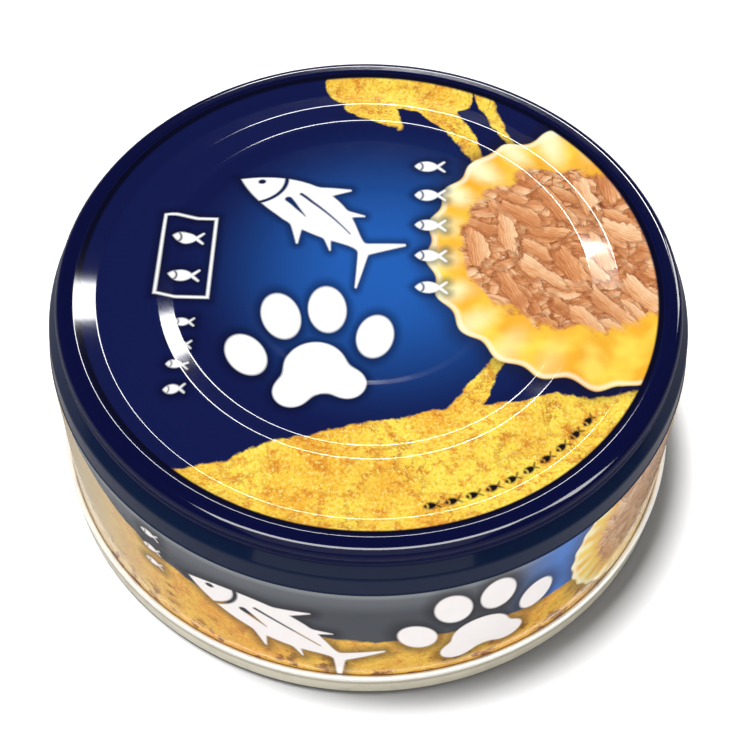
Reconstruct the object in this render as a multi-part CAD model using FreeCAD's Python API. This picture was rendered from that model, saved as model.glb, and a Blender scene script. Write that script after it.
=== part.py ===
import FreeCAD, Part
import math
import os

# A shut round can of food, drawn in one piece from printed sheet and closed by a seamed-on end.
# It stands on the seam, with the closed, printed end of the body on top.
# Millimetres. Z is up, and the origin is the middle of the foot of the seam.

# Overall sizes
CAN_HEIGHT = 28.0  # foot of the seam up to the crest of the rim
CAN_RADIUS = 38.2  # outside of the seam

# Rim round the closed end of the body
CREST_WIDTH = 0.7  # flat top of the rim
CREST_INNER_ROUND = 0.7
RIM_ROLL = 1.3  # how far the rim's outside reaches beyond its flat top
RIM_OUTER_ROUND = 1.15
RIM_HEIGHT = 2.1  # crest down to the shoulder
RIM_FOOT_ROUND = 0.5

# Panel inside the rim, with a raised ring and a sunk disc
PANEL_DEPTH = 1.3  # crest down to the panel
PANEL_SLOPE_WIDTH = 2.6
PANEL_FLAT_WIDTH = 2.1  # flat between the panel's slope and the raised ring
PANEL_ROUND = 1.0
RING_HEIGHT = 0.8
RING_TOP_WIDTH = 0.7
RING_OUTER_SLOPE_WIDTH = 3.6
RING_INNER_SLOPE_WIDTH = 2.1
RING_TOP_ROUND = 1.4
RING_FOOT_ROUND = 1.4
CENTRE_LIFT = 0.1  # the centre lies this much above the panel
DISC_RADIUS = 13.6  # floor of the sunk disc in the centre
DISC_SLOPE_WIDTH = 1.0
DISC_DROP = 0.14
DISC_ROUND = 3.0

# Shoulder and band below the rim
SHOULDER_WIDTH = 1.1
SHOULDER_DROP = 1.3
SHOULDER_ROUND = 0.8
BAND_HEIGHT = 2.3
BAND_FLARE = 0.3
STEP_WIDTH = 0.15  # small step outwards from the band to the wall
STEP_DROP = 0.3
STEP_ROUND = 0.25

# Wall and seam
WALL_FLARE = 0.95  # the wall widens by this much from the step down to the seam
SEAM_THICKNESS = 0.7  # how far the seam stands out from the wall
SEAM_HEIGHT = 3.6
SEAM_TOP_INNER_ROUND = 0.3
SEAM_TOP_FLAT_WIDTH = 0.05  # between the two roundings of the seam's top
SEAM_FOOT_ROUND = 0.5
HOOK_HEIGHT = 1.2  # lower edge of the body inside the seam, above the foot

# Seamed-on end, seen from below
BODY_SHEET = 0.3
END_SHEET = 0.3
CHUCK_WALL_LEAN = 0.4  # the wall inside the seam leans in by this much
COUNTERSINK_DEPTH = 4.6
COUNTERSINK_WIDTH = 1.2
COUNTERSINK_ROUND = 0.45
END_PANEL_DEPTH = 3.6
END_PANEL_SLOPE_WIDTH = 0.8
END_STEP_RADIUS = 22.0
END_STEP_WIDTH = 1.4
END_STEP_HEIGHT = 0.3

# Radii that follow from the sizes above
SEAM_TOP_OUTER_ROUND = SEAM_THICKNESS - SEAM_TOP_INNER_ROUND - SEAM_TOP_FLAT_WIDTH
WALL_RADIUS = CAN_RADIUS - SEAM_THICKNESS
WALL_TOP_RADIUS = WALL_RADIUS - WALL_FLARE
BAND_FOOT_RADIUS = WALL_TOP_RADIUS - STEP_WIDTH
BAND_TOP_RADIUS = BAND_FOOT_RADIUS - BAND_FLARE
RIM_RADIUS = BAND_TOP_RADIUS - SHOULDER_WIDTH
CREST_OUTER_RADIUS = RIM_RADIUS - RIM_ROLL
CREST_INNER_RADIUS = CREST_OUTER_RADIUS - CREST_WIDTH
PANEL_RADIUS = CREST_INNER_RADIUS - PANEL_SLOPE_WIDTH
RING_FOOT_RADIUS = PANEL_RADIUS - PANEL_FLAT_WIDTH
RING_TOP_OUTER_RADIUS = RING_FOOT_RADIUS - RING_OUTER_SLOPE_WIDTH
RING_TOP_INNER_RADIUS = RING_TOP_OUTER_RADIUS - RING_TOP_WIDTH
CENTRE_RADIUS = RING_TOP_INNER_RADIUS - RING_INNER_SLOPE_WIDTH
CHUCK_RADIUS = WALL_RADIUS - BODY_SHEET - END_SHEET
COUNTERSINK_RADIUS = CHUCK_RADIUS - CHUCK_WALL_LEAN
END_PANEL_RADIUS = COUNTERSINK_RADIUS - COUNTERSINK_WIDTH - END_PANEL_SLOPE_WIDTH

# Heights that follow from the sizes above
PANEL_TOP = CAN_HEIGHT - PANEL_DEPTH
RING_TOP = PANEL_TOP + RING_HEIGHT
CENTRE_TOP = PANEL_TOP + CENTRE_LIFT
DISC_FLOOR = CENTRE_TOP - DISC_DROP
SHOULDER_TOP = CAN_HEIGHT - RIM_HEIGHT
BAND_TOP = SHOULDER_TOP - SHOULDER_DROP
BAND_FOOT = BAND_TOP - BAND_HEIGHT
WALL_TOP = BAND_FOOT - STEP_DROP
SEAM_MOUTH = SEAM_HEIGHT - SEAM_TOP_INNER_ROUND  # the bead leaves the wall here
END_STEP_DEPTH = END_PANEL_DEPTH + END_STEP_HEIGHT

ON_AXIS = 0.0
SHARP = 0.0


def point(corner):
    """The place of a corner in the XZ plane."""
    return FreeCAD.Vector(corner[0], 0, corner[1])


def rounded_corner(before, corner, after):
    """Start, middle and end of the arc that rounds a corner, or None where it stays sharp."""
    radius = corner[2]
    if radius == SHARP:
        return None
    tip = point(corner)
    back = (point(before) - tip).normalize()
    ahead = (point(after) - tip).normalize()
    half_angle = back.getAngle(ahead) / 2
    reach = radius / math.tan(half_angle)
    centre_line = (back + ahead).normalize()
    centre = tip + centre_line * (radius / math.sin(half_angle))
    return tip + back * reach, centre - centre_line * radius, tip + ahead * reach


def outline(corners):
    """Closed wire in the XZ plane through corners, each a radius, a height and a rounding."""
    edges = []
    count = len(corners)
    arcs = []
    for i in range(count):
        arcs.append(rounded_corner(corners[i - 1], corners[i], corners[(i + 1) % count]))
    for i in range(count):
        following = (i + 1) % count
        start = arcs[i][2] if arcs[i] else point(corners[i])
        end = arcs[following][0] if arcs[following] else point(corners[following])
        edges.append(Part.LineSegment(start, end).toShape())
        if arcs[following]:
            edges.append(Part.Arc(*arcs[following]).toShape())
    return Part.Wire(edges)


def turned(corners):
    """Solid of revolution about the Z axis."""
    face = Part.Face(outline(corners))
    return face.revolve(FreeCAD.Vector(0, 0, 0), FreeCAD.Vector(0, 0, 1), 360)


def joint_line():
    """Where the body meets the end inside the seam, from the wall's foot in to the axis."""
    return [
        (WALL_RADIUS, HOOK_HEIGHT, SHARP),
        (CHUCK_RADIUS + END_SHEET, HOOK_HEIGHT, SHARP),
        (COUNTERSINK_RADIUS + END_SHEET, COUNTERSINK_DEPTH + END_SHEET, SHARP),
        (COUNTERSINK_RADIUS - COUNTERSINK_WIDTH, COUNTERSINK_DEPTH + END_SHEET, SHARP),
        (END_PANEL_RADIUS, END_PANEL_DEPTH + END_SHEET, SHARP),
        (END_STEP_RADIUS, END_PANEL_DEPTH + END_SHEET, SHARP),
        (END_STEP_RADIUS - END_STEP_WIDTH, END_STEP_DEPTH + END_SHEET, SHARP),
        (ON_AXIS, END_STEP_DEPTH + END_SHEET, SHARP),
    ]


def can_body():
    """Drawn body with its contents: stepped end, rim, shoulder, band and wall, filled solid."""
    panel = [
        (ON_AXIS, DISC_FLOOR, SHARP),
        (DISC_RADIUS, DISC_FLOOR, DISC_ROUND),
        (DISC_RADIUS + DISC_SLOPE_WIDTH, CENTRE_TOP, DISC_ROUND),
        (CENTRE_RADIUS, CENTRE_TOP, RING_FOOT_ROUND),
        (RING_TOP_INNER_RADIUS, RING_TOP, RING_TOP_ROUND),
        (RING_TOP_OUTER_RADIUS, RING_TOP, RING_TOP_ROUND),
        (RING_FOOT_RADIUS, PANEL_TOP, RING_FOOT_ROUND),
        (PANEL_RADIUS, PANEL_TOP, PANEL_ROUND),
    ]
    rim = [
        (CREST_INNER_RADIUS, CAN_HEIGHT, CREST_INNER_ROUND),
        (RIM_RADIUS, CAN_HEIGHT, RIM_OUTER_ROUND),
        (RIM_RADIUS, SHOULDER_TOP, RIM_FOOT_ROUND),
    ]
    side = [
        (BAND_TOP_RADIUS, BAND_TOP, SHOULDER_ROUND),
        (BAND_FOOT_RADIUS, BAND_FOOT, STEP_ROUND),
        (WALL_TOP_RADIUS, WALL_TOP, STEP_ROUND),
        (WALL_RADIUS, SEAM_MOUTH, SHARP),
    ]
    return turned(panel + rim + side + joint_line())


def can_end():
    """Seamed-on end: the seam's bead outside the wall, and the sunk sheet that closes the can."""
    bead = [
        (WALL_RADIUS, SEAM_HEIGHT, SEAM_TOP_INNER_ROUND),
        (CAN_RADIUS, SEAM_HEIGHT, SEAM_TOP_OUTER_ROUND),
        (CAN_RADIUS, 0.0, SEAM_FOOT_ROUND),
        (CHUCK_RADIUS, 0.0, SEAM_FOOT_ROUND),
    ]
    underside = [
        (COUNTERSINK_RADIUS, COUNTERSINK_DEPTH, COUNTERSINK_ROUND),
        (COUNTERSINK_RADIUS - COUNTERSINK_WIDTH, COUNTERSINK_DEPTH, COUNTERSINK_ROUND),
        (END_PANEL_RADIUS, END_PANEL_DEPTH, COUNTERSINK_ROUND),
        (END_STEP_RADIUS, END_PANEL_DEPTH, SHARP),
        (END_STEP_RADIUS - END_STEP_WIDTH, END_STEP_DEPTH, SHARP),
        (ON_AXIS, END_STEP_DEPTH, SHARP),
    ]
    meeting = list(reversed(joint_line()))
    return turned(bead + underside + meeting)


NODES = {
    "can_body": can_body,
    "can_end": can_end,
}

os.makedirs("parts", exist_ok=True)
for name, make in NODES.items():
    shape = make()
    shape.exportStep("parts/" + name + ".step")
    print(name, "volume", round(shape.Volume, 1), "valid", shape.isValid())
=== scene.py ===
import logging
import math
from dataclasses import dataclass
from enum import Enum
from functools import cached_property, reduce
from typing import ClassVar

import bmesh
import bpy
from mathutils import Matrix, Vector


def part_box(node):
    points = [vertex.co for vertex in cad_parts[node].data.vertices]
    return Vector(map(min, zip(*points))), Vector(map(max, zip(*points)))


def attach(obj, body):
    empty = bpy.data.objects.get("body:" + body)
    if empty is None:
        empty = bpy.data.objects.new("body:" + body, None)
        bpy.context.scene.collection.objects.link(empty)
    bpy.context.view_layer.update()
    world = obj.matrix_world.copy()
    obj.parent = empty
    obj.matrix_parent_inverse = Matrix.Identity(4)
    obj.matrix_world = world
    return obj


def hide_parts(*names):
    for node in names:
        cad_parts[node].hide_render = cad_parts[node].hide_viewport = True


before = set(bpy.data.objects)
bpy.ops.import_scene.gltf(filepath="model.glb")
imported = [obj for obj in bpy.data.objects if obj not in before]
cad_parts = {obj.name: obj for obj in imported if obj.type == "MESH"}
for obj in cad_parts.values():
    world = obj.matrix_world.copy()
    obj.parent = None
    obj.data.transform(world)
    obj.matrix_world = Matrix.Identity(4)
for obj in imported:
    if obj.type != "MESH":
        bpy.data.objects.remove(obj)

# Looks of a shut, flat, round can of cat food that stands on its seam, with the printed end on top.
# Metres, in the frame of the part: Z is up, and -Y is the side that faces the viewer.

MM = 0.001
ON_AXIS = 0.0
SHARP = 0.0
BODY = "root"
LOG = logging.getLogger("can")

Socket = bpy.types.NodeSocket
Outputs = bpy.types.NodeOutputs
Number = float | Socket
Place = tuple[float, float, float] | Vector | Socket
Flat = tuple[float, float]
Rgba = tuple[float, float, float, float]
Drawn = dict[str, Socket]
Strokes = tuple[tuple[Flat, Flat, Flat], ...]


class Slot(Enum):
    """Material slots of the record."""

    PRINTED_SHEET = "printed_sheet"
    LACQUERED_SHEET = "lacquered_sheet"


class Ink(Enum):
    """Colours of the print and the metal, some of them painted light, in sRGB from 0 to 255."""

    NAVY = (17, 25, 74)
    DEEP_NAVY = (8, 9, 34)
    RIM_NAVY = (8, 12, 54)
    GLOW = (34, 92, 176)
    # The wall's three greys are painted light on dark print: a painted reflection of the floor that lightens
    # to a painted highlight line under the band.
    REFLECTED_GREY_NAVY = (72, 75, 82)
    REFLECTED_GREY_MID = (100, 103, 108)
    HIGHLIGHT_GREY_LIGHT = (132, 136, 140)
    BAND_NAVY = (14, 28, 56)
    WHITE = (255, 255, 255)
    # The wall's white marks: the top's white, a little dimmer and warmer as painted shade.
    SHADED_WALL_WHITE = (246, 240, 238)
    GOLD_LIGHT = (255, 224, 82)
    GOLD_DEEP = (243, 178, 56)
    GOLD_BLOTCH = (216, 134, 40)
    GOLD_PALE = (255, 240, 150)
    GOLD_SPECK = (176, 98, 34)
    WALL_GOLD = (220, 156, 66)
    # A pale cream of the print, also used as a painted sheen on the wall's left.
    WALL_PALE_AND_SHEEN = (206, 190, 154)
    WALL_SPECK = (112, 44, 26)
    DISH = (253, 218, 84)
    DISH_LIGHT = (255, 248, 196)
    DISH_DEEP = (244, 178, 52)
    DISH_EDGE = (255, 250, 224)
    FLAKE = (226, 160, 108)
    FLAKE_LIGHT = (255, 222, 180)
    FLAKE_DEEP = (184, 108, 62)
    FLAKE_GAP = (140, 74, 40)
    FLAKE_DARK = (92, 44, 26)
    SKY = (72, 124, 204)
    INK_BLACK = (24, 18, 24)
    FOOT_LINE = (150, 104, 40)
    METAL = (226, 219, 198)
    METAL_DULL = (206, 198, 176)
    # Painted highlight of the bead's top rounding, and a painted shade line round its face.
    METAL_HIGHLIGHT = (255, 253, 246)
    METAL_SHADE_LINE = (178, 170, 150)

    @property
    def linear(self) -> Rgba:
        """The colour in linear light.

        Returns:
            Its red, green and blue, and an alpha of one.
        """
        shares = [part / 255 for part in self.value]
        curve = [s / 12.92 if s <= 0.04045 else ((s + 0.055) / 1.055) ** 2.4 for s in shares]
        return (curve[0], curve[1], curve[2], 1.0)


class Sketch:
    """Draws with shader nodes in one node tree. Flat shapes are distances: below zero inside."""

    def __init__(self, tree: bpy.types.NodeTree) -> None:
        """Keeps the tree that the nodes are added to."""
        self.tree = tree

    def add(self, kind: str, **settings: object) -> bpy.types.Node:
        """Adds a node.

        Args:
            kind: The node's type.
            settings: Properties of the node.

        Returns:
            The node.
        """
        node = self.tree.nodes.new(kind)
        for key, value in settings.items():
            setattr(node, key, value)
        return node

    def feed(self, socket: Socket, value: object) -> None:
        """Links a socket to an output, or sets its own value.

        Args:
            socket: The input.
            value: An output, a number, a vector, a colour or an ink.
        """
        if isinstance(value, Socket):
            self.tree.links.new(value, socket)
        else:
            socket.default_value = value.linear if isinstance(value, Ink) else value

    def outputs(self, kind: str, given: dict[str | int, object], **settings: object) -> Outputs:
        """Adds a node and feeds it.

        Args:
            kind: The node's type.
            given: Its inputs, by name or number.
            settings: Properties of the node.

        Returns:
            The node's outputs.
        """
        node = self.add(kind, **settings)
        for key, value in given.items():
            self.feed(node.inputs[key], value)
        return node.outputs

    def math(self, operation: str, *values: Number, clamp: bool = False) -> Socket:
        """The result of a Math node, kept from 0 to 1 where it is clamped."""
        given = dict(enumerate(values))
        return self.outputs("ShaderNodeMath", given, operation=operation, use_clamp=clamp)[0]

    def times(self, value: Number, factor: Number) -> Socket:
        """A product."""
        return self.math("MULTIPLY", value, factor)

    def minus(self, value: Number, less: Number) -> Socket:
        """A difference."""
        return self.math("SUBTRACT", value, less)

    def line(self, value: Number, slope: Number, start: Number, clamp: bool = False) -> Socket:
        """A value times a slope, added to a start."""
        return self.math("MULTIPLY_ADD", value, slope, start, clamp=clamp)

    def absolute(self, value: Number) -> Socket:
        """A value without its sign."""
        return self.math("ABSOLUTE", value)

    def vector(self, operation: str, *values: Place | float) -> Socket:
        """The result of a Vector Math node, a number where the operation gives one."""
        result = "Value" if operation in ("DOT_PRODUCT", "LENGTH", "DISTANCE") else "Vector"
        return self.outputs("ShaderNodeVectorMath", dict(enumerate(values)), operation=operation)[result]

    def scaled(self, vector: Place, factor: Number) -> Socket:
        """A vector times a number."""
        return self.outputs("ShaderNodeVectorMath", {0: vector, "Scale": factor}, operation="SCALE")["Vector"]

    def rotated(self, vector: Place, angle: Number) -> Socket:
        """A vector turned about Z, by an angle in radians."""
        given = {"Vector": vector, "Angle": angle}
        return self.outputs("ShaderNodeVectorRotate", given, rotation_type="Z_AXIS")[0]

    def split(self, vector: Place) -> list[Socket]:
        """The X, Y and Z of a vector."""
        return list(self.outputs("ShaderNodeSeparateXYZ", {0: vector}))

    def joined(self, x: Number, y: Number) -> Socket:
        """A flat vector from its X and Y."""
        return self.outputs("ShaderNodeCombineXYZ", {"X": x, "Y": y})[0]

    def placed(self, point: Place, centre: Flat, size: Flat = (1.0, 1.0), turn: float = 0.0) -> Socket:
        """The point in the measure of a shape with its own middle, size and turn in degrees."""
        given = {"Location": (*centre, 0), "Rotation": (0, 0, math.radians(turn)), "Scale": (*size, 1)}
        return self.outputs("ShaderNodeMapping", {"Vector": point} | given, vector_type="TEXTURE")[0]

    def span(self, value: Number, low: float, high: float, smooth: bool = False) -> Socket:
        """How far a value has gone from low to high, which may be the lesser, kept from 0 to 1."""
        ramp = "SMOOTHSTEP" if smooth else "LINEAR"
        return self.outputs("ShaderNodeMapRange", {"Value": value, "From Min": low, "From Max": high},
                            interpolation_type=ramp)[0]

    def inside(self, distance: Number, softness: float = 0.004) -> Socket:
        """A mask that is 1 inside a shape, with an edge twice as wide as its softness."""
        return self.span(distance, softness, -softness)

    def colour(self, share: Number, below: object, above: object) -> Socket:
        """One colour laid over another, as strongly as the share says."""
        return self.outputs("ShaderNodeMix", {0: share, 6: below, 7: above}, data_type="RGBA")[2]

    def noise(self, point: Place, scale: float, detail: float = 2.0, roughness: float = 0.5) -> Socket:
        """A soft random value, about 0.5 on the whole, with finer layers of a given strength."""
        given = {"Vector": point, "Scale": scale, "Detail": detail, "Roughness": roughness}
        return self.outputs("ShaderNodeTexNoise", given)["Fac"]

    def random(self, cell: Place) -> Socket:
        """Three random values from 0 to 1 for each cell of whole numbers."""
        return self.outputs("ShaderNodeTexWhiteNoise", {"Vector": cell})["Color"]

    def group(self, effect: "Effect", **inputs: object) -> Outputs:
        """The outputs of an effect that is placed with these inputs."""
        return self.outputs("ShaderNodeGroup", inputs, node_tree=effect.tree)

    def drawn(self, effect: "Effect", point: Place) -> Socket:
        """The first output of an effect, read at a point."""
        return self.group(effect, Point=point)[0]

    def disc(self, point: Place, centre: Flat, radius: float) -> Socket:
        """The distance of a round shape."""
        return self.minus(self.vector("DISTANCE", point, (*centre, 0)), radius)

    def oval(self, point: Place, centre: Flat, size: Flat, turn: float = 0.0) -> Socket:
        """The distance, near enough, of an oval with this half width and half height."""
        return self.line(self.vector("LENGTH", self.placed(point, centre, size, turn)), min(size), -min(size))

    def lens(self, point: Place, centre: Flat, half_length: float, half_height: float) -> Socket:
        """A pointed oval along X, where two discs overlap.

        Args:
            point: Where it is read.
            centre: Its middle.
            half_length: Half its length.
            half_height: Half its height.

        Returns:
            Its distance.
        """
        radius = (half_length**2 + half_height**2) / (2 * half_height)
        reach = radius - half_height
        upper = self.disc(point, (centre[0], centre[1] + reach), radius)
        lower = self.disc(point, (centre[0], centre[1] - reach), radius)
        return self.math("MAXIMUM", upper, lower)

    def stroke(self, point: Place, start: Flat, end: Flat, widths: Flat) -> Socket:
        """A straight brush stroke with round ends.

        Args:
            point: Where it is read.
            start: Its first end.
            end: Its second end.
            widths: Its half width at the two ends.

        Returns:
            Its distance.
        """
        origin = Vector((*start, 0))
        run = Vector((*end, 0)) - origin
        share = run / run.length_squared
        along = self.math("ADD", self.vector("DOT_PRODUCT", point, share), -origin.dot(share), clamp=True)
        beside = self.vector("DISTANCE", self.vector("MULTIPLY_ADD", along, -run, point), origin)
        return self.minus(self.line(along, widths[0] - widths[1], beside), widths[0])

    def any_of(self, *shapes: Socket) -> Socket:
        """The distance of several shapes together."""
        return reduce(lambda whole, shape: self.math("MINIMUM", whole, shape), shapes)

    def strokes(self, point: Place, table: Strokes) -> list[Socket]:
        """The distances of strokes, each with its start, end and half widths."""
        return [self.stroke(point, *row) for row in table]

    def edging(self, distance: Number, half_width: float) -> Socket:
        """The distance of a line along a shape's edge."""
        return self.minus(self.absolute(distance), half_width)

    def without(self, shape: Socket, hole: Socket) -> Socket:
        """The distance of a shape with another cut out of it."""
        return self.math("MAXIMUM", shape, self.times(hole, -1.0))

    def in_step(self, share: Socket, count: int) -> Socket:
        """Where a value lies in its own step of a row of steps from 0 up, from -0.5 to 0.5."""
        step = self.math("MINIMUM", self.math("MAXIMUM", self.math("FLOOR", share), 0.0), count - 1.0)
        return self.minus(self.minus(share, step), 0.5)

    def mark(self, effect: "Effect", point: Place, centre: Flat, size: float, turn: float) -> Socket:
        """The distance of an effect's shape with its own middle, size and turn in degrees."""
        local = self.placed(point, centre, (size, size), turn)
        return self.times(self.drawn(effect, local), size)


class Effect:
    """A shader node group that is built once and shared by the materials."""

    title: ClassVar[str] = "effect"
    inputs: ClassVar[tuple[tuple[str, str], ...]] = (("Point", "NodeSocketVector"),)
    results: ClassVar[tuple[tuple[str, str], ...]] = (("Distance", "NodeSocketFloat"),)

    @cached_property
    def tree(self) -> bpy.types.NodeTree:
        """The node group, built at first use.

        Returns:
            The node group with its sockets.
        """
        tree = bpy.data.node_groups.new(self.title, "ShaderNodeTree")
        for name, kind in self.inputs:
            tree.interface.new_socket(name, in_out="INPUT", socket_type=kind)
        for name, kind in self.results:
            tree.interface.new_socket(name, in_out="OUTPUT", socket_type=kind)
        sketch = Sketch(tree)
        source = sketch.add("NodeGroupInput")
        result = sketch.add("NodeGroupOutput")
        for name, value in self.draw(sketch, source.outputs).items():
            sketch.feed(result.inputs[name], value)
        return tree

    def draw(self, sketch: Sketch, given: Outputs) -> Drawn:
        """Draws the effect. Each effect has its own."""
        raise NotImplementedError


class FishMark(Effect):
    """A swimming tuna, one unit long, with its nose to the left, bent along its back."""

    title = "fish mark"
    arch: ClassVar[float] = 0.34
    stem: ClassVar[Strokes] = (((0.2, 0), (0.36, 0), (0.05, 0.022)),)
    tail: ClassVar[Strokes] = (
        ((0.35, 0), (0.5, 0.21), (0.036, 0.006)),
        ((0.35, 0), (0.48, -0.19), (0.034, 0.006)),
    )
    fins: ClassVar[Strokes] = (
        ((-0.1, 0.12), (0.02, 0.245), (0.04, 0.005)),
        ((0.1, 0.09), (0.2, 0.16), (0.026, 0.004)),
        ((-0.06, -0.12), (0.04, -0.235), (0.036, 0.005)),
        ((0.12, -0.08), (0.21, -0.145), (0.024, 0.004)),
    )
    creases: ClassVar[Strokes] = (
        ((-0.2, -0.015), (-0.05, -0.06), (0.02, 0.003)),
        ((-0.17, 0.055), (0.22, 0.014), (0.01, 0.004)),
    )

    def draw(self, sketch: Sketch, given: Outputs) -> Drawn:
        """Draws the fish.

        Args:
            sketch: Draws in the group.
            given: The point.

        Returns:
            Its distance.
        """
        x, y, _ = sketch.split(given["Point"])
        bend = sketch.times(sketch.times(x, x), self.arch)
        point = sketch.joined(x, sketch.math("ADD", y, bend))
        fish = sketch.lens(point, (-0.09, 0), 0.41, 0.15)
        for strokes, blend in ((self.stem, 0.05), (self.tail, 0.03), (self.fins, 0.02)):
            fish = sketch.math("SMOOTH_MIN", fish, sketch.any_of(*sketch.strokes(point, strokes)), blend)
        eye = sketch.disc(point, (-0.4, 0.03), 0.02)
        gill = sketch.edging(sketch.disc(point, (-0.46, 0.0), 0.19), 0.012)
        lines = sketch.any_of(eye, gill, *sketch.strokes(point, self.creases))
        return {"Distance": sketch.without(fish, lines)}


class PawMark(Effect):
    """A cat's paw print, about one unit across."""

    title = "paw mark"

    def draw(self, sketch: Sketch, given: Outputs) -> Drawn:
        """Draws the paw print.

        Args:
            sketch: Draws in the group.
            given: The point.

        Returns:
            Its distance.
        """
        x, y, _ = sketch.split(given["Point"])
        point = sketch.joined(sketch.absolute(x), y)
        heart = sketch.disc(point, (0, -0.12), 0.17)
        lobe = sketch.disc(point, (0.15, -0.25), 0.1)
        pad = sketch.math("SMOOTH_MIN", heart, lobe, 0.1)
        outer_toe = sketch.oval(point, (0.355, 0.03), (0.1, 0.145), -22)
        inner_toe = sketch.oval(point, (0.13, 0.26), (0.105, 0.16), -6)
        return {"Distance": sketch.any_of(pad, outer_toe, inner_toe)}


class SmallFishMark(Effect):
    """A plain little fish, one unit long, for rows of small marks."""

    title = "small fish mark"

    def draw(self, sketch: Sketch, given: Outputs) -> Drawn:
        """Draws the little fish.

        Args:
            sketch: Draws in the group.
            given: The point.

        Returns:
            Its distance.
        """
        x, y, _ = sketch.split(given["Point"])
        point = sketch.joined(x, sketch.absolute(y))
        body = sketch.lens(point, (-0.1, 0), 0.36, 0.2)
        tail = sketch.stroke(point, (0.22, 0.01), (0.42, 0.19), (0.05, 0.03))
        gill = sketch.edging(sketch.disc(point, (-0.42, 0), 0.2), 0.03)
        return {"Distance": sketch.without(sketch.any_of(body, tail), gill)}


class GoldLeaf(Effect):
    """Printed gold leaf: clouded yellow with grain, brown specks and fine creases."""

    title = "gold leaf"
    results = (("Colour", "NodeSocketColor"),)
    crease_scale: ClassVar[float] = 13
    crease_wander: ClassVar[float] = 0.12

    def draw(self, sketch: Sketch, given: Outputs) -> Drawn:
        """Draws the gold leaf.

        Args:
            sketch: Draws in the group.
            given: The point.

        Returns:
            The colour.
        """
        point = given["Point"]
        cloud = sketch.noise(point, 3.2, 3, 0.6)
        grain = sketch.noise(point, 85, 3, 0.75)
        blotch = sketch.noise(point, 19, 3, 0.7)
        colour = sketch.colour(sketch.span(cloud, 0.34, 0.56), Ink.GOLD_DEEP, Ink.GOLD_LIGHT)
        stain = sketch.times(sketch.span(blotch, 0.5, 0.64), 0.8)
        colour = sketch.colour(stain, colour, Ink.GOLD_BLOTCH)
        wander = sketch.scaled(sketch.joined(blotch, grain), self.crease_wander)
        cells = {"Vector": sketch.vector("ADD", point, wander), "Scale": self.crease_scale}
        veins = sketch.outputs("ShaderNodeTexVoronoi", cells, voronoi_dimensions="2D",
                               feature="DISTANCE_TO_EDGE")
        vein = sketch.span(veins["Distance"], 0.11, 0.0)
        patchy = sketch.span(sketch.noise(point, 5.5, 2), 0.45, 0.62)
        fleck = sketch.span(grain, 0.52, 0.63)
        worn = sketch.math("MAXIMUM", sketch.times(vein, patchy), sketch.times(fleck, 0.5))
        colour = sketch.colour(sketch.times(worn, 0.85), colour, Ink.GOLD_SPECK)
        glint = sketch.times(sketch.span(grain, 0.46, 0.34), 0.8)
        return {"Colour": sketch.colour(glint, colour, Ink.GOLD_PALE)}


class ShredLayer(Effect):
    """One loose layer of meat shreds, each at its own small turn in a long cell."""

    title = "shred layer"
    inputs = (
        ("Point", "NodeSocketVector"),
        ("Scale", "NodeSocketFloat"),
        ("Turn", "NodeSocketFloat"),
        ("Seed", "NodeSocketFloat"),
    )
    results = (
        ("Mask", "NodeSocketFloat"),
        ("Tone", "NodeSocketFloat"),
        ("Shade", "NodeSocketFloat"),
    )
    slimness: ClassVar[float] = 2.1
    half_size: ClassVar[Flat] = (0.4, 0.15)
    squareness: ClassVar[float] = 3.0
    fibre_scale: ClassVar[tuple[int, int, int]] = (4, 46, 0)

    def draw(self, sketch: Sketch, given: Outputs) -> Drawn:
        """Draws the layer.

        Args:
            sketch: Draws in the group.
            given: The point, cells for each unit, turn in radians and seed.

        Returns:
            Where shreds lie, their tone from 0 to 1, and their shade on what lies under them.
        """
        grid = sketch.scaled(sketch.rotated(given["Point"], given["Turn"]), given["Scale"])
        grid = sketch.vector("MULTIPLY_ADD", grid, (1, self.slimness, 0), (7.3, 3.1, 0))
        wobble = sketch.noise(grid, 2.2, 3, 0.6)
        cell = sketch.vector("FLOOR", grid)
        lot = sketch.random(sketch.vector("ADD", cell, sketch.joined(given["Seed"], given["Seed"])))
        middle = sketch.vector("MULTIPLY_ADD", lot, (0.2, 0.24, 0), (0.4, 0.38, 0))
        local = sketch.vector("SUBTRACT", sketch.vector("FRACTION", grid), middle)
        local = sketch.vector("MULTIPLY", local, (1, 1 / self.slimness, 0))
        lot_x, lot_y, _ = sketch.split(lot)
        tilted = sketch.rotated(local, sketch.line(lot_x, 0.9, -0.45))
        local_x, local_y, _ = sketch.split(sketch.placed(tilted, (0, 0), self.half_size))
        end = sketch.math("POWER", sketch.absolute(local_x), self.squareness)
        flank = sketch.math("POWER", sketch.absolute(local_y), self.squareness)
        shred = sketch.math("POWER", sketch.math("ADD", end, flank), 1 / self.squareness)
        shred = sketch.line(wobble, 2.0, shred)
        fibres = sketch.noise(sketch.vector("MULTIPLY", tilted, self.fibre_scale), 1.0, 2, 0.7)
        tone = sketch.line(fibres, 1.1, sketch.line(local_y, 0.2, -0.3))
        tone = sketch.line(lot_y, 0.36, tone, clamp=True)
        return {"Mask": sketch.span(shred, 1.93, 1.8), "Tone": tone, "Shade": sketch.span(shred, 2.24, 1.84)}


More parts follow.
